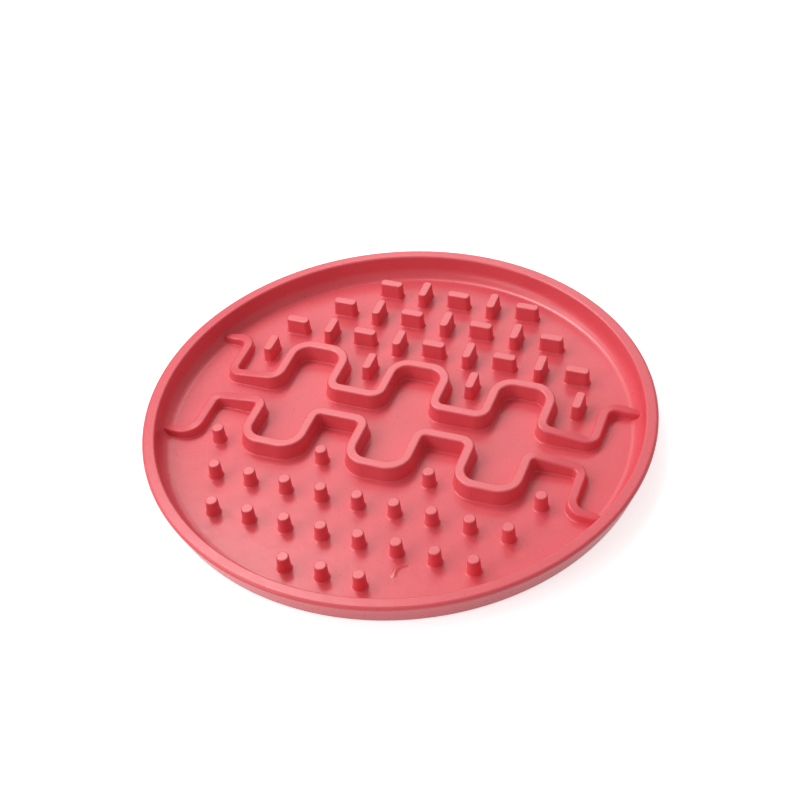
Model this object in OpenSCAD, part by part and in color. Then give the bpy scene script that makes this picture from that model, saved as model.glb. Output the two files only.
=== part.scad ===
// Round lick mat: a shallow silicone dish whose floor carries two serpentine walls,
// a field of upright blocks behind them and a field of pins in front of them.
// Frame: millimetres, +Z up, +X along the rows, origin in the middle of the flat underside.

/* [Dish] */
// Outer diameter over the rim
mat_d = 200; // [166:1:240]
// Height of the rim above the surface that the mat lies on
rim_h = 11.4; // [10.6:0.1:16]
// Thickness of the floor
floor_t = 2; // [1.2:0.1:3]
// Width of the rim between its inner and its outer face
rim_w = 5; // [4.8:0.1:7]
// Radius of the cove in which the floor turns up into the rim
cove_r = 4.1; // [2:0.1:5]
// How far the rim's inner face leans outwards between the cove and the top
inner_lean = 0.4; // [0.1:0.1:1]
// How much further in the foot is than the rim's outermost line
outer_taper = 2.9; // [0.5:0.1:3]
// Radius of the rim's outer top edge
rim_outer_r = 1.2; // [0.5:0.1:2.6]
// Radius of the rim's inner top edge
rim_inner_r = 1.7; // [0.5:0.1:2.2]
// Radius of the outer bottom edge
foot_r = 2.2; // [1:0.1:4]

/* [Features on the floor] */
// Height of the walls, blocks and pins above the floor
feature_h = 6.8; // [4:0.1:7.4]
// Radius of the fillet at the foot of every wall, block and pin
root_r = 0.6; // [0.2:0.1:1]

/* [Serpentine walls] */
// Length of one wave, from the middle of one bay to the middle of the next
wave_pitch = 43.6; // [41:0.1:44]
// Width of a bay, between the middles of its two side walls
bay_w = 22.5; // [20.5:0.1:23]
// Number of pockets on each side of the middle bay, where the mat is wide enough for them
pockets_each_side = 2; // [1:1:2]
// Distance from the mat's middle to the inner run of a wall
wave_inner_y = 7.25; // [5.5:0.05:9]
// Distance from the mat's middle to the outer run of a wall
wave_outer_y = 28.75; // [27:0.05:30]
// Width of a wall's top
wall_top_w = 3.8; // [2.8:0.1:4.2]
// Draft of a wall's sides, in degrees from upright
wall_draft = 6; // [2:0.5:7]
// Radius of a wall's top edges
wall_edge_r = 0.8; // [0.4:0.1:1.3]
// Inside radius of the corners of a bay
bay_corner_r = 4.3; // [3:0.1:5]
// Inside radius of the corners of a pocket
pocket_corner_r = 0.8; // [0.3:0.1:1.2]
// Inside radius where a wall turns away to the rim
end_corner_r = 2.4; // [1.5:0.1:3]
// Angle at which the wall's top falls towards the rim
fall_a = 6.5; // [4:0.1:8]
// Length over which the wall's top falls
fall_l = 38; // [30:1:46]
// Length over which the end of a wall narrows
end_taper_l = 7; // [6:0.5:12]
// Width of a wall's top where it dies out in the rim
end_w = 2.2; // [1.2:0.1:3]

/* [Blocks] */
// Length of a block's top
block_l = 9.4; // [7:0.1:10]
// Width of a block's top
block_w = 3.6; // [3:0.1:4.4]
// Draft of a block's sides, in degrees from upright
block_draft = 3.5; // [1:0.5:5]
// Radius of a block's upright edges at its top
block_corner_r = 1.4; // [0.7:0.1:1.4]
// Radius of a block's top edges
block_edge_r = 0.5; // [0.3:0.1:0.7]
// Distance between blocks along a row
block_pitch = 15.1; // [14:0.1:17]
// Distance between the rows of blocks
block_row_pitch = 16.35; // [13:0.05:17]
// Number of full rows of blocks behind the waves
block_rows = 3; // [1:1:3]
// Distance from the outer run of the wall to the first full row of blocks
block_field_gap = 13.45; // [12:0.05:15]
// Distance from the inner run of the wall to the block in each pocket
pocket_block_out = 18.1; // [15:0.1:19]

/* [Pins] */
// Diameter of a pin's top
pin_d = 4.6; // [3:0.1:5]
// Draft of a pin's side, in degrees from upright
pin_draft = 3; // [1:0.5:5]
// Radius of a pin's top edge
pin_edge_r = 0.6; // [0.3:0.1:1.2]
// Distance between pins along a row
pin_pitch = 14.6; // [12:0.1:17]
// Distance between the rows of pins
pin_row_pitch = 17.9; // [14:0.05:18]
// Number of full rows of pins in front of the waves
pin_rows = 3; // [1:1:3]
// Distance from the outer run of the wall to the first full row of pins
pin_field_gap = 16.9; // [10:0.05:18]
// Distance from the inner run of the wall to the pin in each pocket
pocket_pin_out = 20.1; // [15:0.1:21]

/* [Hidden] */
// Clear flat floor kept between the outermost blocks or pins and the cove
field_margin = 2.5;
// Steps in a fillet, in a rounded edge and in a large arc of a profile
fillet_steps = 3;
edge_steps = 4;
arc_steps = 8;
// Steps in a tight and in a wide turn of a wall
tight_turn_steps = 6;
wide_turn_steps = 8;
silicone = "lightcoral";
$fn = 180;

mat_r = mat_d / 2;
rim_in_r = mat_r - rim_w;
floor_r = rim_in_r - inner_lean - cove_r;
foot_wall_r = mat_r - outer_taper;
field_r = floor_r - field_margin;

// Centres of the four arcs in the section of the rim
cove_c = [floor_r, floor_t + cove_r];
inner_c = [rim_in_r + rim_inner_r, rim_h - rim_inner_r];
outer_c = [mat_r - rim_outer_r, rim_h - rim_outer_r];
foot_c = [foot_wall_r - foot_r, foot_r];

// Angle from upright of a straight face that runs tangent into two arcs, whose centres
// lie v apart and whose radii add or differ by r
function tangent_a(v, r) = acos(r / norm(v)) - atan2(v.y, v.x);
lean_a = tangent_a(inner_c - cove_c, cove_r + rim_inner_r);
taper_a = tangent_a(outer_c - foot_c, foot_r - rim_outer_r);

// The plane of the floor's top parts the base from the rim on the foot's arc, or above it
// on the outer face
foot_top_a = min(asin(floor_t / foot_r - 1), -taper_a);
foot_joint = foot_top_a < -taper_a ? [] : [
    [outer_c.x + (rim_outer_r - (outer_c.y - floor_t) * sin(taper_a)) / cos(taper_a), floor_t]
];

// Points of an arc about c from angle a to angle b
function arc(c, r, a, b, steps) =
    [for (i = [0:steps]) let (t = a + (b - a) * i / steps) c + r * [cos(t), sin(t)]];

// One side of a moulded ridge, from the floor up to its flat top. Each point is
// [offset from the sharp top corner, height], with a root fillet and a rounded top edge.
function flank(h, draft, edge, root) =
    let (
        root_x = (root * (1 - sin(draft)) + h * sin(draft)) / cos(draft),
        edge_x = -edge * (1 - sin(draft)) / cos(draft)
    )
    concat(
        arc([root_x, root], root, 270, 180 + draft, fillet_steps),
        arc([edge_x, h - edge], edge, draft, 90, edge_steps)
    );

// How far a flank's fillet reaches out past the sharp top corner
function flank_reach(h, draft, root) = flank(h, draft, root, root)[0].x;

wall_half = wall_top_w / 2 + flank_reach(feature_h, wall_draft, root_r);
block_reach = flank_reach(feature_h, block_draft, root_r);
pin_reach = flank_reach(feature_h, pin_draft, root_r);

bay_turn_r = bay_corner_r + wall_half;
pocket_turn_r = pocket_corner_r + wall_half;
end_turn_r = end_corner_r + wall_half;

// The wall's path ends inside the rim, which then cuts it off
path_end_r = (floor_r + foot_wall_r) / 2;
path_end_x = sqrt(path_end_r * path_end_r - wave_outer_y * wave_outer_y);
fall_x = path_end_x - fall_l;
// Pockets that fit between the middle bay and the end of the wall
pocket_room = path_end_x - end_taper_l / 2 - end_turn_r + bay_w / 2;
pockets = min(pockets_each_side, floor(pocket_room / wave_pitch));

// Stations of a turn: each is [x, y, angle of the normal on the left of the path]
function turn_right(c, r, a, steps) =
    [for (i = [0:steps]) let (t = a - 90 * i / steps) [c.x + r * cos(t), c.y + r * sin(t), t]];
function turn_left(c, r, a, steps) =
    [for (i = [0:steps]) let (t = a + 90 * i / steps) [c.x + r * cos(t), c.y + r * sin(t), t + 180]];

// The wall's path round pocket k: down the bay's side, round the pocket and up again
function pocket_path(k) =
    let (
        left_x = k * wave_pitch + bay_w / 2,
        right_x = (k + 1) * wave_pitch - bay_w / 2,
        out_r = k == pockets - 1 ? end_turn_r : bay_turn_r,
        turn_y = wave_inner_y + pocket_turn_r
    )
    concat(
        turn_right([left_x - bay_turn_r, wave_outer_y - bay_turn_r], bay_turn_r, 90, wide_turn_steps),
        turn_left([left_x + pocket_turn_r, turn_y], pocket_turn_r, 180, tight_turn_steps),
        turn_left([right_x - pocket_turn_r, turn_y], pocket_turn_r, 270, tight_turn_steps),
        turn_right([right_x + out_r, wave_outer_y - out_r], out_r, 180, wide_turn_steps)
    );

half_path = concat(
    [[0, wave_outer_y, 90]],
    [for (k = [0:1:pockets - 1]) each pocket_path(k)],
    [[path_end_x - end_taper_l / 2, wave_outer_y, 90], [path_end_x, wave_outer_y, 90]]
);
wave_path = concat(
    [for (i = [len(half_path) - 1:-1:1]) [-half_path[i].x, half_path[i].y, 180 - half_path[i].z]],
    half_path
);

// Height of the wall above the floor, and half the width of its top, at a distance x from the middle
function wall_height(x) = max(root_r, feature_h - max(0, abs(x) - fall_x) * tan(fall_a));
function wall_half_top(x) =
    let (share = max(0, (abs(x) - path_end_x) / end_taper_l + 1))
    (wall_top_w + (end_w - wall_top_w) * share) / 2;

// Cross-section of the wall at one station, as a ring of points from its left to its right foot
function wall_section(s) =
    let (
        h = wall_height(s.x),
        w = wall_half_top(s.x),
        limit = min(1, h / (wall_edge_r + root_r) / 2),
        side = flank(h, wall_draft, wall_edge_r * limit, root_r * limit),
        last = len(side) - 1,
        // Points of the left and of the right side, as [distance from the path, height]
        ring = concat(
            [for (i = [0:last]) [w + side[i].x, side[i].y]],
            [for (i = [last:-1:0]) [-w - side[i].x, side[i].y]]
        )
    )
    [for (p = ring) [s.x + p.x * cos(s.z), s.y + p.x * sin(s.z), floor_t + p.y]];

// A solid through rings of equal length, closed by its first and last ring
module loft(rings) {
    count = len(rings[0]);
    span = len(rings) - 1;
    polyhedron(
        points = [for (ring = rings) each ring],
        faces = concat(
            [[for (i = [0:count - 1]) i]],
            [for (j = [0:span - 1], i = [0:count - 1])
                let (a = j * count + i, b = j * count + (i + 1) % count)
                each [[a, a + count, b], [b, a + count, b + count]]],
            [[for (i = [count - 1:-1:0]) span * count + i]]
        ),
        convexity = 10
    );
}

// Outline of the rim above the floor: cove, inner face, rounded top and outer face down to the foot
module rim_outline() {
    polygon(concat(
        arc(cove_c, cove_r, 270, 360 - lean_a, arc_steps),
        arc(inner_c, rim_inner_r, 180 - lean_a, 90, arc_steps),
        arc(outer_c, rim_outer_r, 90, -taper_a, arc_steps),
        len(foot_joint) > 0 ? foot_joint : arc(foot_c, foot_r, -taper_a, foot_top_a, edge_steps)
    ));
}

// The ring without its colour, also used to trim what runs into it
module rim_body() {
    rotate_extrude() rim_outline();
}

module base() {
    color(silicone)
    rotate_extrude()
    polygon(concat(
        [[0, 0]],
        arc(foot_c, foot_r, -90, foot_top_a, arc_steps),
        foot_joint,
        [[0, floor_t]]
    ));
}

module rim() {
    color(silicone) rim_body();
}

module wave() {
    color(silicone)
    difference() {
        loft([for (s = wave_path) wall_section(s)]);
        rim_body();
    }
}

module back_wave() {
    wave();
}

module front_wave() {
    mirror([0, 1, 0]) wave();
}

// A ridge's outline across its width, with half as the distance from its middle to its sharp top corner
module ridge_outline(half, side) {
    last = len(side) - 1;
    polygon(concat(
        [for (i = [0:last]) [half + side[i].x, side[i].y]],
        [for (i = [last:-1:0]) [-half - side[i].x, side[i].y]]
    ));
}

// A straight ridge along X, centred on the origin
module ridge(length, half, side) {
    rotate([90, 0, 90])
    linear_extrude(length, center = true)
    ridge_outline(half, side);
}

// An upright block on the floor, long side along X: ridges both ways and four rounded corners
module block_body() {
    side = flank(feature_h, block_draft, block_edge_r, root_r);
    run_l = block_l - block_corner_r * 2;
    run_w = block_w - block_corner_r * 2;
    ridge(run_l, block_w / 2, side);
    rotate([0, 0, 90]) ridge(run_w, block_l / 2, side);
    for (quarter = [0:3]) {
        turned = quarter % 2 == 1;
        rotate([0, 0, 90 * quarter])
        translate([(turned ? run_w : run_l) / 2, (turned ? run_l : run_w) / 2, 0])
        rotate_extrude(angle = 90)
        polygon(concat(
            [[0, 0]],
            [for (p = side) [block_corner_r + p.x, p.y]],
            [[0, feature_h]]
        ));
    }
}

module block(place) {
    color(silicone)
    translate([place[1], place[2], floor_t])
    rotate([0, 0, place[3]])
    block_body();
}

module pin(place) {
    side = flank(feature_h, pin_draft, pin_edge_r, root_r);
    color(silicone)
    translate([place[1], place[2], floor_t])
    rotate_extrude()
    polygon(concat(
        [[0, 0]],
        [for (p = side) [pin_d / 2 + p.x, p.y]],
        [[0, feature_h]]
    ));
}

// Half the width that a row at distance y has on the flat floor, for pieces that reach out by rx and ry
function row_half_width(y, rx, ry) =
    let (square = field_r * field_r - (abs(y) + ry) * (abs(y) + ry))
    square > 0 ? sqrt(square) - rx : -1;

// Columns of a row as whole steps, or as half steps on a staggered row, from left to right
function columns(half_width, pitch, staggered) =
    let (
        shift = staggered ? 0.5 : 0,
        count = floor(half_width / pitch + shift)
    )
    half_width < 0 ? [] : [for (i = [-count:count - (staggered ? 1 : 0)]) i + shift];

block_rx = block_l / 2 + block_reach;
block_ry = block_w / 2 + block_reach;
pin_rx = pin_d / 2 + pin_reach;

// Every block as [name, x, y, angle]: the long side turns by 90 degrees from column to column
field_blocks = [
    for (row = [0:block_rows - 1])
    let (
        y = wave_outer_y + block_field_gap + row * block_row_pitch,
        cols = columns(row_half_width(y, block_rx, block_ry), block_pitch, false)
    )
    for (i = [0:1:len(cols) - 1])
    [str("block_row", row + 1, "_", i + 1), cols[i] * block_pitch, y, i % 2 == 0 ? 0 : 90]
];
pin_places = [
    for (row = [0:pin_rows - 1])
    let (
        y = -wave_outer_y - pin_field_gap - row * pin_row_pitch,
        cols = columns(row_half_width(y, pin_rx, pin_rx), pin_pitch, row % 2 == 1)
    )
    for (i = [0:1:len(cols) - 1])
    [str("pin_row", row + 1, "_", i + 1), cols[i] * pin_pitch, y]
];
pocket_x = [for (k = [0:1:2 * pockets - 1]) (k - pockets + 0.5) * wave_pitch];
pocket_blocks = [
    for (i = [0:1:len(pocket_x) - 1])
    [str("pocket_block_", i + 1), pocket_x[i], wave_inner_y + pocket_block_out, 90]
];
pocket_pins = [
    for (i = [0:1:len(pocket_x) - 1])
    [str("pocket_pin_", i + 1), pocket_x[i], -wave_inner_y - pocket_pin_out]
];
blocks = concat(field_blocks, pocket_blocks);
pins = concat(pin_places, pocket_pins);

base();
rim();
back_wave();
front_wave();
for (b = blocks) block(b);
for (p = pins) pin(p);
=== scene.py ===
import math

import bpy
import numpy as np
from mathutils import Matrix, Vector
from mathutils.geometry import delaunay_2d_cdt


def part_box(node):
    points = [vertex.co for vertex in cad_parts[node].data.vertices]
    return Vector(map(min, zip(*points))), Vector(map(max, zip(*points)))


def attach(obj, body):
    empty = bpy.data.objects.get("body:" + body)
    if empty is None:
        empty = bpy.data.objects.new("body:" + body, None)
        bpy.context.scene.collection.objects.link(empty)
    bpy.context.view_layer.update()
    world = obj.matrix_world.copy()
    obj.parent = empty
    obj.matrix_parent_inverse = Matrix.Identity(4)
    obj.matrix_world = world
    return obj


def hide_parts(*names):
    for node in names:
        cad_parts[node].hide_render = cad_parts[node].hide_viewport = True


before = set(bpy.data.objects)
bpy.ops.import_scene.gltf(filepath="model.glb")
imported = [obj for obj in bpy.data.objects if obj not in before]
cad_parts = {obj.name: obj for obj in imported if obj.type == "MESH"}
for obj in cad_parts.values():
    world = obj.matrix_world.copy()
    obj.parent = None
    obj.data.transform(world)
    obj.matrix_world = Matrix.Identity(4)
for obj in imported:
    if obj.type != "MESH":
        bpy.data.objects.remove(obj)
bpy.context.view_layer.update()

# All lengths of the shapes are millimetres; the meshes are written in metres.
MM = 0.001

# Dish: the cove is a little wider and the rim's inner edge crisper than in the solids
MAT_R = 100.0
RIM_H = 11.4
FLOOR_T = 2.0
RIM_W = 5.0
COVE_R = 5.0
INNER_LEAN = 0.4
OUTER_TAPER = 2.9
RIM_OUTER_R = 1.2
RIM_INNER_R = 0.9
FOOT_R = 2.2

# Walls, blocks and pins
FEATURE_H = 6.8
ROOT_R = 0.6
WAVE_PITCH = 43.6
BAY_W = 22.5
POCKETS = 2
WAVE_INNER_Y = 7.25
WAVE_OUTER_Y = 28.75
WALL_TOP_W = 3.8
WALL_DRAFT = 6.0
WALL_EDGE_R = 0.8
BAY_CORNER_R = 4.3
POCKET_CORNER_R = 0.8
END_CORNER_R = 2.4
FALL_A = 6.5
FALL_L = 38.0
FALL_EASE = 3.0
END_TAPER_L = 7.0
END_W = 2.2
TIP_L, TIP_DROP, TIP_W = 3.0, 0.7, 1.2
PATH_END_R = 93.8
BLOCK_L, BLOCK_W, BLOCK_DRAFT = 9.4, 3.6, 3.5
BLOCK_CORNER_R, BLOCK_EDGE_R = 1.4, 0.5
PIN_D, PIN_DRAFT, PIN_EDGE_R = 4.6, 3.0, 0.6

# Crescent mark that the mould left in the floor
MARK_C = np.array([28.3, -71.7])
MARK_R = 4.3
MARK_HALF_W = 1.3
MARK_H = 0.38
MARK_FROM, MARK_TO = 98.0, 216.0

# Fineness of the meshes: steps round the dish and in each arc, and grids of points on the floor
SEGMENTS = 360
COVE_STEPS, RIM_INNER_STEPS, RIM_OUTER_STEPS = 14, 12, 14
FOOT_SIDE_STEPS, FOOT_UNDER_STEPS = 6, 10
ROOT_STEPS, STUD_EDGE_STEPS, WALL_EDGE_STEPS = 6, 7, 8
BLOCK_CORNER_STEPS, PIN_CORNER_STEPS = 6, 10
BAY_TURN_STEPS, POCKET_TURN_STEPS = 18, 14
STATION_GAP, LONGEST_GAP = 2.0, 2.5
BOTTOM_RING_R = 20.0
GRID_R, GRID_STEP = 90.0, 7.5
MARK_GRID_X, MARK_GRID_Y, MARK_STEP = (-6.0, 2.0), (-4.5, 6.0), 0.25
MARK_CLEAR = 7

RIM_IN_R = MAT_R - RIM_W
FLOOR_R = RIM_IN_R - INNER_LEAN - COVE_R
FOOT_WALL_R = MAT_R - OUTER_TAPER
COVE_C = np.array([FLOOR_R, FLOOR_T + COVE_R])
INNER_C = np.array([RIM_IN_R + RIM_INNER_R, RIM_H - RIM_INNER_R])
OUTER_C = np.array([MAT_R - RIM_OUTER_R, RIM_H - RIM_OUTER_R])
FOOT_C = np.array([FOOT_WALL_R - FOOT_R, FOOT_R])


def tangent_angle(v, r):
    """Lean in degrees of a straight face tangent to two arcs whose centres lie v apart."""
    return math.degrees(math.acos(r / np.linalg.norm(v)) - math.atan2(v[1], v[0]))


LEAN_A = tangent_angle(INNER_C - COVE_C, COVE_R + RIM_INNER_R)
TAPER_A = tangent_angle(OUTER_C - FOOT_C, FOOT_R - RIM_OUTER_R)
FOOT_TOP_A = min(math.degrees(math.asin(FLOOR_T / FOOT_R - 1)), -TAPER_A)


# Outlines: a run is a list of points with the surface normal at each

def arc_run(c, r, a, b, steps, hollow=False):
    """Arc about c from angle a to b. A hollow arc has its surface on the side of its centre."""
    t = np.radians(np.linspace(a, b, steps + 1))
    d = np.stack([np.cos(t), np.sin(t)], -1)
    return np.hstack([np.array(c) + r * d, -d if hollow else d])


def line_run(p, q, normal, steps=1):
    t = np.linspace(0, 1, steps + 1)[:, None]
    pts = np.array(p) * (1 - t) + np.array(q) * t
    return np.hstack([pts, np.tile(np.array(normal, float), (steps + 1, 1))])


def chain(runs):
    """Points of the joined runs, and the normals at the start and the end of each step between them."""
    pts, start, end = [runs[0][0, :2]], [], []
    for run in runs:
        for j in range(len(run) - 1):
            pts.append(run[j + 1, :2])
            start.append(run[j, 2:])
            end.append(run[j + 1, 2:])
    return np.array(pts), np.array(start), np.array(end)


# Meshes

class Shape:
    """Collects faces with a normal at each corner, and welds the corners into one closed mesh."""

    def __init__(self):
        self.corners, self.normals, self.faces = [], [], []

    def face(self, points, normals):
        n = len(self.corners)
        self.corners.extend(points)
        self.normals.extend(normals)
        self.faces.append(tuple(range(n, n + len(points))))

    def strip(self, near, near_n, far, far_n):
        """Quads between two rows of points, with their own normals along each row."""
        for k in range(len(near) - 1):
            self.face(
                [near[k], near[k + 1], far[k + 1], far[k]],
                [near_n[k], near_n[k + 1], far_n[k + 1], far_n[k]],
            )

    def build(self, name, node, material):
        corners = np.array(self.corners, float) * MM
        _, first, index = np.unique(
            np.round(corners, 8), axis=0, return_index=True, return_inverse=True
        )
        index = index.reshape(-1)
        faces, normals = [], []
        for f in self.faces:
            ring, kept = [], []
            for k in f:
                if index[k] not in ring:
                    ring.append(int(index[k]))
                    kept.append(self.normals[k])
            if len(ring) > 2:
                faces.append(ring)
                normals.extend(kept)
        mesh = bpy.data.meshes.new(name)
        mesh.from_pydata(corners[first].tolist(), [], faces)
        mesh.polygons.foreach_set("use_smooth", [True] * len(faces))
        n = np.array(normals, float)
        n /= np.linalg.norm(n, axis=1)[:, None]
        mesh.normals_split_custom_set(n.tolist())
        mesh.update()
        piece = bpy.data.objects.new(name, mesh)
        bpy.context.scene.collection.objects.link(piece)
        mesh.materials.append(material)
        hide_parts(node)
        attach(piece, "root")
        return piece


def revolve(shape, runs):
    """Turns an open or closed outline of (radius, height) about the Z axis."""
    pts, start, end = chain(runs)
    angles = np.radians(np.arange(SEGMENTS + 1) % SEGMENTS * 360.0 / SEGMENTS)
    ca, sa = np.cos(angles), np.sin(angles)

    def row(p):
        return np.stack([p[0] * ca, p[0] * sa, np.full(len(ca), p[1])], -1)

    for j in range(len(start)):
        a, b = row(pts[j]), row(pts[j + 1])
        na, nb = row(start[j]), row(end[j])
        for k in range(SEGMENTS):
            shape.face([a[k], b[k], b[k + 1], a[k + 1]], [na[k], nb[k], nb[k + 1], na[k + 1]])


def flank(h, draft, edge, root, edge_steps):
    """One side of a moulded ridge from the floor to its flat top, measured from the sharp top corner."""
    s, c = math.sin(math.radians(draft)), math.cos(math.radians(draft))
    root_x = (root * (1 - s) + h * s) / c
    edge_x = -edge * (1 - s) / c
    foot = arc_run([root_x, root], root, 270, 180 + draft, ROOT_STEPS, hollow=True)
    top = arc_run([edge_x, h - edge], edge, draft, 90, edge_steps)
    return [foot, line_run(foot[-1, :2], top[0, :2], [c, s], 2), top]


def stud(name, node, x, y, turned, length, width, corner, draft, edge, corner_steps, material):
    """A block or pin: a rounded outline that narrows upwards from a filleted foot to a rounded top."""
    side = flank(FEATURE_H, draft, edge, ROOT_R, STUD_EDGE_STEPS)
    pts, start, end = chain(side)
    t = np.concatenate([np.linspace(90 * k, 90 * (k + 1), corner_steps + 1) for k in range(4)])
    t = np.radians(np.append(t, 0))
    hx, hy = length / 2 - corner, width / 2 - corner
    cx = np.repeat([hx, -hx, -hx, hx], corner_steps + 1)
    cy = np.repeat([hy, hy, -hy, -hy], corner_steps + 1)
    cx, cy = np.append(cx, cx[0]), np.append(cy, cy[0])
    co, si = np.cos(t), np.sin(t)
    co[-1], si[-1] = co[0], si[0]

    def place(px, py, pz):
        if turned:
            px, py = -py, px
        return np.stack([px + x, py + y, pz + FLOOR_T], -1)

    def tilt(nx, ny, nz):
        if turned:
            nx, ny = -ny, nx
        return np.stack([nx, ny, nz], -1)

    def row(p):
        r = corner + p[0]
        return place(cx + r * co, cy + r * si, np.full(len(t), p[1]))

    def row_n(n):
        return tilt(n[0] * co, n[0] * si, np.full(len(t), n[1]))

    shape = Shape()
    for j in range(len(start)):
        shape.strip(row(pts[j]), row_n(start[j]), row(pts[j + 1]), row_n(end[j]))
    top, foot = row(pts[-1])[:-1], row(pts[0])[:-1]
    shape.face(list(top), [(0, 0, 1)] * len(top))
    shape.face(list(foot[::-1]), [(0, 0, -1)] * len(foot))
    return shape.build(name, node, material)


# The serpentine walls

def reach(h, draft, root):
    """How far the foot of a side stands out from the sharp corner at its top."""
    s, c = math.sin(math.radians(draft)), math.cos(math.radians(draft))
    return (root * (1 - s) + h * s) / c


WALL_HALF = WALL_TOP_W / 2 + reach(FEATURE_H, WALL_DRAFT, ROOT_R)
BAY_TURN_R = BAY_CORNER_R + WALL_HALF
POCKET_TURN_R = POCKET_CORNER_R + WALL_HALF
END_TURN_R = END_CORNER_R + WALL_HALF
PATH_END_X = math.sqrt(PATH_END_R ** 2 - WAVE_OUTER_Y ** 2)
FALL_X = PATH_END_X - FALL_L


def turn(c, r, a, sweep, steps):
    """Stations of a turn: x, y and the angle of the normal on the left of the path."""
    t = a + sweep * np.linspace(0, 1, steps + 1)
    rad = np.radians(t)
    return np.stack([c[0] + r * np.cos(rad), c[1] + r * np.sin(rad), t + (180 if sweep > 0 else 0)], -1)


def half_path():
    """Stations along a wall's middle line, from the middle bay to the wall's end at the rim."""
    rows = [np.array([[0, WAVE_OUTER_Y, 90.0]])]
    for k in range(POCKETS):
        left = k * WAVE_PITCH + BAY_W / 2
        right = (k + 1) * WAVE_PITCH - BAY_W / 2
        out_r = END_TURN_R if k == POCKETS - 1 else BAY_TURN_R
        y = WAVE_INNER_Y + POCKET_TURN_R
        rows += [
            turn([left - BAY_TURN_R, WAVE_OUTER_Y - BAY_TURN_R], BAY_TURN_R, 90, -90, BAY_TURN_STEPS),
            turn([left + POCKET_TURN_R, y], POCKET_TURN_R, 180, 90, POCKET_TURN_STEPS),
            turn([right - POCKET_TURN_R, y], POCKET_TURN_R, 270, 90, POCKET_TURN_STEPS),
            turn([right + out_r, WAVE_OUTER_Y - out_r], out_r, 180, -90, BAY_TURN_STEPS),
        ]
    rows.append(np.array([[PATH_END_X, WAVE_OUTER_Y, 90.0]]))
    stations = [rows[0][0]]
    for row in rows:
        for s in row:
            gap = np.hypot(s[0] - stations[-1][0], s[1] - stations[-1][1])
            if gap < 1e-6:
                continue
            parts = math.ceil(gap / STATION_GAP) if gap > LONGEST_GAP else 1
            last = stations[-1]
            for i in range(1, parts + 1):
                p = last + (s - last) * i / parts
                p[2] = s[2]
                stations.append(p)
    return np.array(stations)


def tip_share(x):
    """Grows from 0 to 1 over the last stretch of a wall, where it sinks into the rim's cove."""
    return min(1.0, max(0.0, (abs(x) - PATH_END_X) / TIP_L + 1))


def wall_height(x):
    """Full height in the middle, and an eased fall towards the rim."""
    d = abs(x) - FALL_X
    if d > FALL_EASE:
        run = d
    elif d > -FALL_EASE:
        run = (d + FALL_EASE) ** 2 / (4 * FALL_EASE)
    else:
        run = 0
    return FEATURE_H - run * math.tan(math.radians(FALL_A)) - TIP_DROP * tip_share(x) ** 2


def wall_half_top(x):
    """Half the width of the top, which narrows over the wall's end and again at its tip."""
    share = max(0.0, (abs(x) - PATH_END_X) / END_TAPER_L + 1)
    share = share * share * (1.5 - 0.5 * share)
    return (WALL_TOP_W + (END_W - WALL_TOP_W) * share - (END_W - TIP_W) * tip_share(x) ** 2) / 2


def wave(name, node, side, material):
    """A serpentine wall: one section lofted along the path. Side is 1 for the back wall, -1 for the front."""
    right = half_path()
    left = right[:0:-1].copy()
    left[:, 0] *= -1
    left[:, 2] = 180 - left[:, 2]
    path = np.vstack([left, right])
    rings, starts, ends = [], [], []
    for x, y, a in path:
        h, w = wall_height(x), wall_half_top(x)
        # The fillet and the rounded edge shrink where the wall is too low for them
        limit = min(1, h / (WALL_EDGE_R + ROOT_R) / 2)
        runs = flank(h, WALL_DRAFT, WALL_EDGE_R * limit, ROOT_R * limit, WALL_EDGE_STEPS)
        pts, start, end = chain(runs)
        rings.append(np.vstack([pts * [1, 1] + [w, 0], (pts * [-1, 1] - [w, 0])[::-1]]))
        up = np.array([[0.0, 1.0]])
        starts.append(np.vstack([start, up, (end * [-1, 1])[::-1]]))
        ends.append(np.vstack([end, up, (start * [-1, 1])[::-1]]))
    rings, starts, ends = np.array(rings), np.array(starts), np.array(ends)
    along = np.concatenate([[0], np.cumsum(np.hypot(np.diff(path[:, 0]), np.diff(path[:, 1])))])
    slope = np.gradient(rings, along, axis=0)
    lat = np.stack([np.cos(np.radians(path[:, 2])), np.sin(np.radians(path[:, 2]))], -1)
    lat[np.abs(lat) < 1e-12] = 0
    tan = np.stack([lat[:, 1], -lat[:, 0]], -1)

    def points(j):
        q = rings[:, j]
        x = path[:, 0] + q[:, 0] * lat[:, 0]
        y = path[:, 1] + q[:, 0] * lat[:, 1]
        return np.stack([x, y * side, q[:, 1] + FLOOR_T], -1)

    def lifted(n, j):
        lean = (n * slope[:, j]).sum(-1)
        v = np.stack([
            n[:, 0] * lat[:, 0] - lean * tan[:, 0],
            (n[:, 0] * lat[:, 1] - lean * tan[:, 1]) * side,
            n[:, 1],
        ], -1)
        return v / np.linalg.norm(v, axis=1)[:, None]

    shape = Shape()
    count = rings.shape[1]
    rows = [points(j) for j in range(count)]
    for j in range(count - 1):
        a, b = rows[j], rows[j + 1]
        na, nb = lifted(starts[:, j], j), lifted(ends[:, j], j + 1)
        if side > 0:
            shape.strip(b, nb, a, na)
        else:
            shape.strip(a, na, b, nb)
    down = np.tile([0.0, 0.0, -1.0], (len(path), 1))
    a, b = rows[-1], rows[0]
    if side > 0:
        shape.strip(b, down, a, down)
    else:
        shape.strip(a, down, b, down)
    first = np.array([r[0] for r in rows])
    last = np.array([r[-1] for r in rows])
    if side > 0:
        shape.face(list(first[::-1]), [(-1, 0, 0)] * count)
        shape.face(list(last), [(1, 0, 0)] * count)
    else:
        shape.face(list(first), [(-1, 0, 0)] * count)
        shape.face(list(last[::-1]), [(1, 0, 0)] * count)
    return shape.build(name, node, material)


# Base and rim

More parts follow.
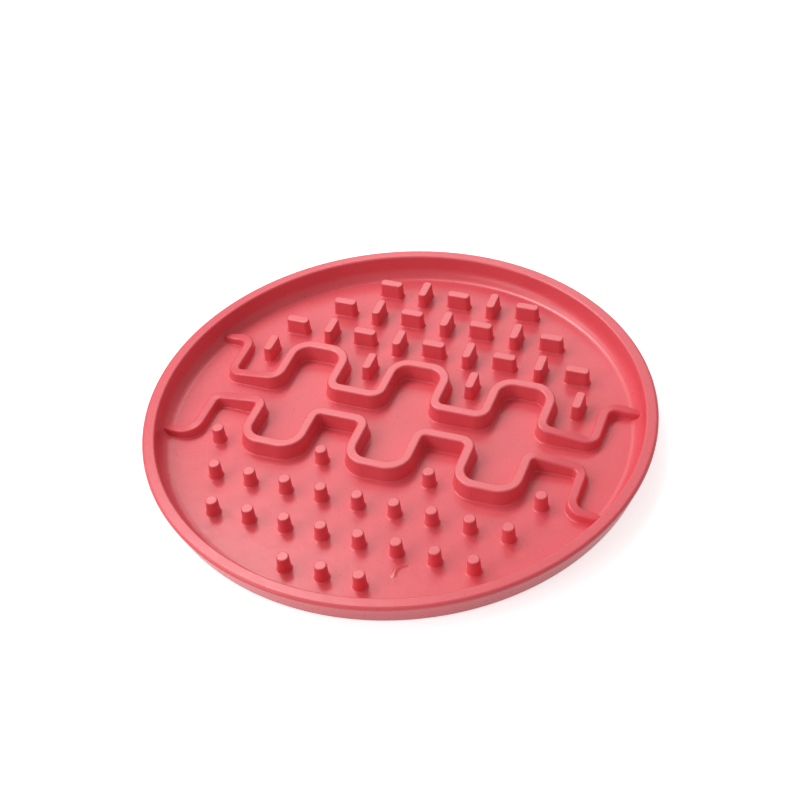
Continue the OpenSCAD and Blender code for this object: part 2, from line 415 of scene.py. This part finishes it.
def mark_height(x, y):
    """A faint crescent ridge that the mould left in the floor."""
    d = np.array([x, y]) - MARK_C
    across = (np.hypot(d[0], d[1]) - MARK_R) / MARK_HALF_W
    turn_a = math.degrees(math.atan2(d[1], d[0])) % 360
    along = (2 * turn_a - MARK_FROM - MARK_TO) / (MARK_TO - MARK_FROM)
    if abs(across) >= 1 or abs(along) >= 1:
        return 0.0
    return MARK_H * (1 - across * across) ** 2 * (1 - along * along) ** 0.7


def mark_normal(x, y):
    """The floor's normal, from the slope of the mark over a short way on each side."""
    e = 0.02
    dx = (mark_height(x + e, y) - mark_height(x - e, y)) / (2 * e)
    dy = (mark_height(x, y + e) - mark_height(x, y - e)) / (2 * e)
    return (-dx, -dy, 1.0)


def floor_top(shape, edge_r, angles):
    """The floor's top face out to edge_r, finer round the moulding mark."""
    outer = [Vector((edge_r * math.cos(a), edge_r * math.sin(a))) for a in angles]
    inner = []
    for gx in np.arange(-GRID_R, GRID_R + 0.1, GRID_STEP):
        for gy in np.arange(-GRID_R, GRID_R + 0.1, GRID_STEP):
            near_mark = max(abs(gx - MARK_C[0]), abs(gy - MARK_C[1])) <= MARK_CLEAR
            if math.hypot(gx, gy) < GRID_R and not near_mark:
                inner.append(Vector((gx, gy)))
    for gx in np.arange(MARK_GRID_X[0], MARK_GRID_X[1] + 0.01, MARK_STEP):
        for gy in np.arange(MARK_GRID_Y[0], MARK_GRID_Y[1] + 0.01, MARK_STEP):
            inner.append(Vector((MARK_C[0] + gx, MARK_C[1] + gy)))
    loop = [(i, (i + 1) % SEGMENTS) for i in range(SEGMENTS)]
    verts, _, faces = delaunay_2d_cdt(outer + inner, loop, [], 1, 1e-6)[:3]
    points = [(v.x, v.y, FLOOR_T + mark_height(v.x, v.y)) for v in verts]
    up = [mark_normal(v.x, v.y) for v in verts]
    for f in faces:
        a, b, c = (verts[i] for i in f[:3])
        if (b - a).cross(c - a) < 0:
            f = f[::-1]
        shape.face([points[i] for i in f], [up[i] for i in f])


def base(material):
    shape = Shape()
    foot = arc_run(FOOT_C, FOOT_R, FOOT_TOP_A, -90, FOOT_UNDER_STEPS)
    bottom = line_run(foot[-1, :2], [BOTTOM_RING_R, 0.0], [0, -1], 3)
    revolve(shape, [foot, bottom])
    angles = np.radians(np.arange(SEGMENTS) * 360.0 / SEGMENTS)
    ring = np.stack([BOTTOM_RING_R * np.cos(angles), BOTTOM_RING_R * np.sin(angles), np.zeros(SEGMENTS)], -1)
    shape.face(list(ring[::-1]), [(0, 0, -1)] * SEGMENTS)
    floor_top(shape, foot[0, 0], angles)
    return shape.build("base_silicone", "base", material)


def rim(material):
    cove = arc_run(COVE_C, COVE_R, 270, 360 - LEAN_A, COVE_STEPS, hollow=True)
    inner = arc_run(INNER_C, RIM_INNER_R, 180 - LEAN_A, 90, RIM_INNER_STEPS)
    outer = arc_run(OUTER_C, RIM_OUTER_R, 90, -TAPER_A, RIM_OUTER_STEPS)
    foot = arc_run(FOOT_C, FOOT_R, -TAPER_A, FOOT_TOP_A, FOOT_SIDE_STEPS)
    lean = np.radians(LEAN_A)
    taper = np.radians(TAPER_A)
    runs = [
        cove,
        line_run(cove[-1, :2], inner[0, :2], [-math.cos(lean), math.sin(lean)], 2),
        inner,
        line_run(inner[-1, :2], outer[0, :2], [0, 1]),
        outer,
        line_run(outer[-1, :2], foot[0, :2], [math.cos(taper), -math.sin(taper)], 2),
        foot,
        line_run(foot[-1, :2], cove[0, :2], [0, -1]),
    ]
    shape = Shape()
    revolve(shape, runs)
    return shape.build("rim_silicone", "rim", material)


# Materials

CORAL_DEEP, CORAL_LIGHT = (0.745, 0.084, 0.106, 1), (0.785, 0.100, 0.124, 1)
# Painted light: a lighter coral mixed onto the up-facing raised tops, standing in for the light that falls on
# them
CORAL_PAINTED_TOP_LIGHT = (0.84, 0.148, 0.164, 1)
# Heights in metres over which the painted light on the up-facing tops comes in, and fades again towards the
# rim's top
PAINTED_LIGHT_FROM, PAINTED_LIGHT_TO = 0.0072, 0.0087
PAINTED_LIGHT_FADE_FROM, PAINTED_LIGHT_FADE_TO, PAINTED_LIGHT_RIM_SHARE = 0.0090, 0.0110, 0.2
ROUGH_LOW, ROUGH_HIGH = 0.27, 0.34
WHITE = (1, 1, 1, 1)
FLOOR_COLOR = (0.86, 0.86, 0.86, 1)
FLOOR_SEEN, FLOOR_MIRRORED = 0.66, 0.5


def new_material(name):
    m = bpy.data.materials.new(name)
    m.use_nodes = True
    m.node_tree.nodes.clear()
    return m, m.node_tree.nodes, m.node_tree.links


def noise(nodes, links, coords, scale, detail, rough=0.5):
    n = nodes.new("ShaderNodeTexNoise")
    n.inputs["Scale"].default_value = scale
    n.inputs["Detail"].default_value = detail
    n.inputs["Roughness"].default_value = rough
    links.new(coords, n.inputs["Vector"])
    return n.outputs["Fac"]


def spread(nodes, links, value, low, high, to_low, to_high):
    n = nodes.new("ShaderNodeMapRange")
    n.inputs["From Min"].default_value = low
    n.inputs["From Max"].default_value = high
    n.inputs["To Min"].default_value = to_low
    n.inputs["To Max"].default_value = to_high
    links.new(value, n.inputs["Value"])
    return n.outputs["Result"]


def product(nodes, links, first, *others):
    for other in others:
        n = nodes.new("ShaderNodeMath")
        n.operation = "MULTIPLY"
        links.new(first, n.inputs[0])
        links.new(other, n.inputs[1])
        first = n.outputs["Value"]
    return first


def mix(nodes, links, factor, a, b):
    n = nodes.new("ShaderNodeMix")
    n.data_type = "RGBA"
    links.new(factor, n.inputs["Factor"])
    for name, color in (("A", a), ("B", b)):
        socket = [i for i in n.inputs if i.name == name and i.type == "RGBA"][0]
        if isinstance(color, tuple):
            socket.default_value = color
        else:
            links.new(color, socket)
    return [o for o in n.outputs if o.type == "RGBA"][0]


def bump(nodes, links, height, strength, distance, normal=None):
    n = nodes.new("ShaderNodeBump")
    n.inputs["Strength"].default_value = strength
    n.inputs["Distance"].default_value = distance
    links.new(height, n.inputs["Height"])
    if normal is not None:
        links.new(normal, n.inputs["Normal"])
    return n.outputs["Normal"]


def silicone():
    """Clouded coral, with painted light: the up-facing raised tops are painted a lighter coral for the light
    that falls on them. A fine grain in its gloss and its surface.
    """
    m, nodes, links = new_material("coral_silicone")
    out = nodes.new("ShaderNodeOutputMaterial")
    bsdf = nodes.new("ShaderNodeBsdfPrincipled")
    links.new(bsdf.outputs["BSDF"], out.inputs["Surface"])
    coords = nodes.new("ShaderNodeTexCoord").outputs["Object"]

    cloud = noise(nodes, links, coords, 28, 3)
    grain = noise(nodes, links, coords, 900, 2)
    orange = noise(nodes, links, coords, 170, 2, 0.4)

    tone = mix(nodes, links, spread(nodes, links, cloud, 0.3, 0.7, 0, 1), CORAL_DEEP, CORAL_LIGHT)
    place = nodes.new("ShaderNodeSeparateXYZ")
    links.new(coords, place.inputs["Vector"])
    facing = nodes.new("ShaderNodeSeparateXYZ")
    links.new(nodes.new("ShaderNodeNewGeometry").outputs["Normal"], facing.inputs["Vector"])
    # Painted light: up-facing surfaces at the height of the tops are mixed towards the lighter coral, with
    # less of it on the rim's top
    painted_top_light = product(
        nodes, links,
        spread(nodes, links, place.outputs["Z"], PAINTED_LIGHT_FROM, PAINTED_LIGHT_TO, 0, 1),
        spread(nodes, links, place.outputs["Z"], PAINTED_LIGHT_FADE_FROM, PAINTED_LIGHT_FADE_TO, 1, PAINTED_LIGHT_RIM_SHARE),
        spread(nodes, links, facing.outputs["Z"], 0.55, 0.95, 0, 1),
    )
    tone = mix(nodes, links, painted_top_light, tone, CORAL_PAINTED_TOP_LIGHT)
    links.new(tone, bsdf.inputs["Base Color"])

    links.new(spread(nodes, links, grain, 0.3, 0.7, ROUGH_LOW, ROUGH_HIGH), bsdf.inputs["Roughness"])
    bsdf.inputs["IOR"].default_value = 1.46

    wavy = bump(nodes, links, orange, 0.35, 0.0002)
    fine = bump(nodes, links, grain, 0.25, 0.00004, wavy)
    links.new(fine, bsdf.inputs["Normal"])
    return m


def seen_direct(nodes, links, to_camera, to_mirror):
    """Strength for camera rays, and for glossy and transmitted ones; zero for the light on the object."""
    path = nodes.new("ShaderNodeLightPath")
    strengths = {"Is Camera Ray": to_camera, "Is Glossy Ray": to_mirror, "Is Transmission Ray": to_mirror}
    total = None
    for ray, strength in strengths.items():
        part = nodes.new("ShaderNodeMath")
        part.operation = "MULTIPLY_ADD"
        part.inputs[1].default_value = strength
        part.inputs[2].default_value = 0
        links.new(path.outputs[ray], part.inputs[0])
        if total is not None:
            links.new(total, part.inputs[2])
        total = part.outputs["Value"]
    return total


def floor_material():
    """White to the eye, with the glow that a camera sees added to a floor that still takes the shadow."""
    m, nodes, links = new_material("floor_white")
    out = nodes.new("ShaderNodeOutputMaterial")
    add = nodes.new("ShaderNodeAddShader")
    diffuse = nodes.new("ShaderNodeBsdfDiffuse")
    diffuse.inputs["Color"].default_value = FLOOR_COLOR
    glow = nodes.new("ShaderNodeEmission")
    glow.inputs["Color"].default_value = WHITE
    links.new(seen_direct(nodes, links, FLOOR_SEEN, FLOOR_MIRRORED), glow.inputs["Strength"])
    links.new(diffuse.outputs["BSDF"], add.inputs[0])
    links.new(glow.outputs["Emission"], add.inputs[1])
    links.new(add.outputs["Shader"], out.inputs["Surface"])
    return m


def studs(material):
    """Every block and pin, where the frame has its node."""
    for node in sorted(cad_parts):
        low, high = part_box(node)
        x, y = (round(v, 3) for v in ((low + high) / 2 / MM)[:2])
        name = node + "_silicone"
        if "block" in node:
            turned = high.y - low.y > high.x - low.x
            shape = (BLOCK_L, BLOCK_W, BLOCK_CORNER_R, BLOCK_DRAFT, BLOCK_EDGE_R, BLOCK_CORNER_STEPS)
            stud(name, node, x, y, turned, *shape, material)
        elif "pin" in node:
            shape = (PIN_D, PIN_D, PIN_D / 2, PIN_DRAFT, PIN_EDGE_R, PIN_CORNER_STEPS)
            stud(name, node, x, y, False, *shape, material)


coral = silicone()
base(coral)
rim(coral)
wave("back_wave_silicone", "back_wave", 1, coral)
wave("front_wave_silicone", "front_wave", -1, coral)
studs(coral)

# Floor, world, lights and camera, in metres

FLOOR_SPREAD, FLOOR_SIDES, FLOOR_DROP = 6, 96, 0.0001
WORLD_LIGHT, WORLD_SEEN, WORLD_MIRRORED = 0.37, 0.63, 0.05
LAMP_DISTANCE = 1.2
# Camera of the photograph, from a fit to the pins, the blocks and the rim
LENS, SENSOR_W = 66.723, 36
CAMERA_AZ, CAMERA_EL, CAMERA_ROLL = (math.radians(a) for a in (23.607, 42.777, -5.504))
CAMERA_TARGET, CAMERA_DISTANCE = Vector((-0.005532, 0.015138, 0)), 0.59563


def white_floor():
    mesh = bpy.data.meshes.new("floor")
    turns = np.linspace(0, 2 * math.pi, FLOOR_SIDES, endpoint=False)
    ring = [(FLOOR_SPREAD * math.cos(a), FLOOR_SPREAD * math.sin(a), -FLOOR_DROP) for a in turns]
    mesh.from_pydata(ring, [], [tuple(range(FLOOR_SIDES))])
    mesh.materials.append(floor_material())
    floor = bpy.data.objects.new("floor", mesh)
    bpy.context.scene.collection.objects.link(floor)


def background(nodes, strength):
    n = nodes.new("ShaderNodeBackground")
    n.inputs["Color"].default_value = WHITE
    n.inputs["Strength"].default_value = strength
    return n


def studio_world():
    world = bpy.data.worlds.new("studio")
    world.use_nodes = True
    bpy.context.scene.world = world
    nodes, links = world.node_tree.nodes, world.node_tree.links
    nodes.clear()
    out = nodes.new("ShaderNodeOutputWorld")
    both = nodes.new("ShaderNodeAddShader")
    light = background(nodes, WORLD_LIGHT)
    seen = background(nodes, 0)
    links.new(seen_direct(nodes, links, WORLD_SEEN, WORLD_MIRRORED), seen.inputs["Strength"])
    links.new(light.outputs["Background"], both.inputs[0])
    links.new(seen.outputs["Background"], both.inputs[1])
    links.new(both.outputs["Shader"], out.inputs["Surface"])


def lamp(name, turn_a, rise_a, size, level):
    """A soft square panel that lights a level surface at the origin to about the given share of white."""
    turn_a, rise_a = math.radians(turn_a), math.radians(rise_a)
    d = Vector((math.cos(turn_a) * math.cos(rise_a), math.sin(turn_a) * math.cos(rise_a), math.sin(rise_a)))
    data = bpy.data.lights.new(name, "AREA")
    data.shape = "SQUARE"
    data.size = size
    data.energy = level * math.pi * LAMP_DISTANCE ** 2 * math.pi / d.z
    panel = bpy.data.objects.new(name, data)
    panel.location = d * LAMP_DISTANCE
    panel.rotation_mode = "QUATERNION"
    panel.rotation_quaternion = (-d).to_track_quat("-Z", "Y")
    bpy.context.scene.collection.objects.link(panel)
    return panel


def photo_camera():
    data = bpy.data.cameras.new("camera")
    data.sensor_width = SENSOR_W
    data.lens = LENS
    data.clip_start = 0.01
    camera = bpy.data.objects.new("camera", data)
    bpy.context.scene.collection.objects.link(camera)
    az, el, roll = CAMERA_AZ, CAMERA_EL, CAMERA_ROLL
    back = Vector((math.sin(az) * math.cos(el), -math.cos(az) * math.cos(el), math.sin(el)))
    level_right = Vector((math.cos(az), math.sin(az), 0))
    level_up = back.cross(level_right)
    right = math.cos(roll) * level_right + math.sin(roll) * level_up
    up = math.cos(roll) * level_up - math.sin(roll) * level_right
    place = Matrix((right, up, back)).transposed().to_4x4()
    place.translation = CAMERA_TARGET + back * CAMERA_DISTANCE
    camera.matrix_world = place
    bpy.context.scene.camera = camera


white_floor()
studio_world()
lamp("key_panel", 180, 47, 0.6, 0.245)
lamp("side_panel", 226, 32, 0.7, 0.165)
lamp("glint_panel", 137, 57, 0.3, 0.185)
lamp("back_panel", 108, 38, 0.5, 0.085)
# A small card that shows only in the gloss, for the bright line in the cove
lamp("glint_card", 139, 58, 0.2, 0.13).visible_diffuse = False
photo_camera()
bpy.context.scene.view_settings.view_transform = "Standard"
